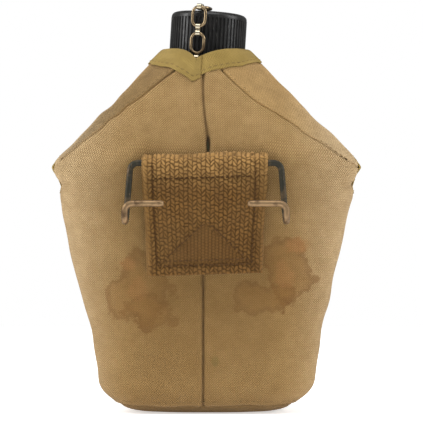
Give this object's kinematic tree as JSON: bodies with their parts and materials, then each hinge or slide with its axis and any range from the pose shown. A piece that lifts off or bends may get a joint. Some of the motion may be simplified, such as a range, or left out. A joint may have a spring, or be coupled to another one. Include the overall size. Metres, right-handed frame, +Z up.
{
  "type": "canteen",
  "caption": "Flat curved metal bottle with a ribbed screw cap on a chain, in a felt-lined canvas cover with snap flaps and a wire belt hook.",
  "frame": {"origin": "middle of the flat the cover stands on, on the ground", "axes": "+Z up, -Y towards the hook side that lies against the wearer, +X to the right seen from the hook side"},
  "size_m": [0.1612, 0.0955, 0.2111],
  "materials": {
    "bottle_metal": "dull, lightly scuffed",
    "chain_wire": "tarnished",
    "chain_clip": "worn",
    "cap_plastic": "satin, worn",
    "gasket_rubber": "matte",
    "canvas": "plain woven duck, stained",
    "flap_canvas": "plain woven duck",
    "felt": "wool felt",
    "binding_tape": "herringbone tape",
    "snap_metal": "blackened, worn",
    "webbing": "heavy basket-woven webbing",
    "hook_wire": "dark paint worn to bronze at the tips"
  },
  "bodies": {
    "cover": {"bottle_lower_shell": "bottle_metal", "bottle_upper_shell": "bottle_metal", "neck_spout": "bottle_metal", "neck_chain_loop": "chain_wire", "chain_clip_3": "chain_clip", "back_panel_left": "canvas", "back_panel_right": "canvas", "shoulder_strip_left": "flap_canvas", "shoulder_strip_right": "flap_canvas", "front_panel_left": "canvas", "front_panel_right": "canvas", "bottom_panel": "canvas", "back_felt": "felt", "front_felt": "felt", "bottom_felt": "felt", "neck_binding_left": "binding_tape", "neck_binding_right": "binding_tape", "mouth_binding": "binding_tape", "snap_studs": "snap_metal", "snap_plates": "snap_metal", "hook_patch": "webbing"},
    "chain_eye": {"cap_eye": "chain_clip"},
    "screw_cap": {"cap": "cap_plastic", "cap_gasket": "gasket_rubber", "cap_eye_washer": "chain_clip"},
    "chain_top": {"chain_link_1": "chain_wire", "chain_clip_1": "chain_clip"},
    "chain_middle": {"chain_link_2": "chain_wire", "chain_clip_2": "chain_clip"},
    "chain_end": {"chain_link_3": "chain_wire"},
    "hook": {"belt_hook": "hook_wire"},
    "left_flap": {"flap_left": "flap_canvas", "flap_felt_left": "felt", "flap_binding_left": "binding_tape", "flap_tape_left": "binding_tape", "snap_socket_left": "snap_metal"},
    "right_flap": {"flap_right": "flap_canvas", "flap_felt_right": "felt", "flap_binding_right": "binding_tape", "flap_tape_right": "binding_tape", "snap_socket_right": "snap_metal"}
  },
  "joints": [
    {"name": "cap_lift", "type": "slide", "parent": "cover", "child": "chain_eye", "axis": [0.061, 0, 0.9981], "range_m": [0, 0.012]},
    {"name": "cap_turn", "type": "hinge", "parent": "chain_eye", "child": "screw_cap", "pos_m": [0, 0, 0.177], "axis": [0.061, 0, 0.9981], "range_deg": [0, 1080.1]},
    {"name": "chain_top_swing", "type": "hinge", "parent": "chain_eye", "child": "chain_top", "pos_m": [0.00009, -0.00757, 0.20936], "axis": [-0.9685, 0.2419, 0.0592], "range_deg": [0, 70]},
    {"name": "chain_middle_swing", "type": "hinge", "parent": "chain_top", "child": "chain_middle", "pos_m": [-0.00322, -0.02086, 0.20956], "axis": [-0.9685, 0.2419, 0.0592], "range_deg": [0, 60]},
    {"name": "chain_end_swing", "type": "hinge", "parent": "chain_middle", "child": "chain_end", "pos_m": [-0.00406, -0.02086, 0.19588], "axis": [-0.9685, 0.2419, 0.0592], "range_deg": [0, 60]},
    {"name": "hook_swing", "type": "hinge", "parent": "cover", "child": "hook", "pos_m": [0, -0.04107, 0.1285], "axis": [-1, 0, 0], "range_deg": [0, 110]},
    {"name": "flap_right_open", "type": "hinge", "parent": "cover", "child": "right_flap", "pos_m": [0.02288, 0.00015, 0.18905], "axis": [0.6756, -0.1853, -0.7136], "range_deg": [0, 110]},
    {"name": "flap_left_open", "type": "hinge", "parent": "cover", "child": "left_flap", "pos_m": [-0.02288, 0.00015, 0.18905], "axis": [0.6756, 0.1853, 0.7136], "range_deg": [0, 110]}
  ],
  "couplings": [
    {"joint": "cap_turn", "follows": "cap_lift", "rad_per_m": 1570.8}
  ]
}
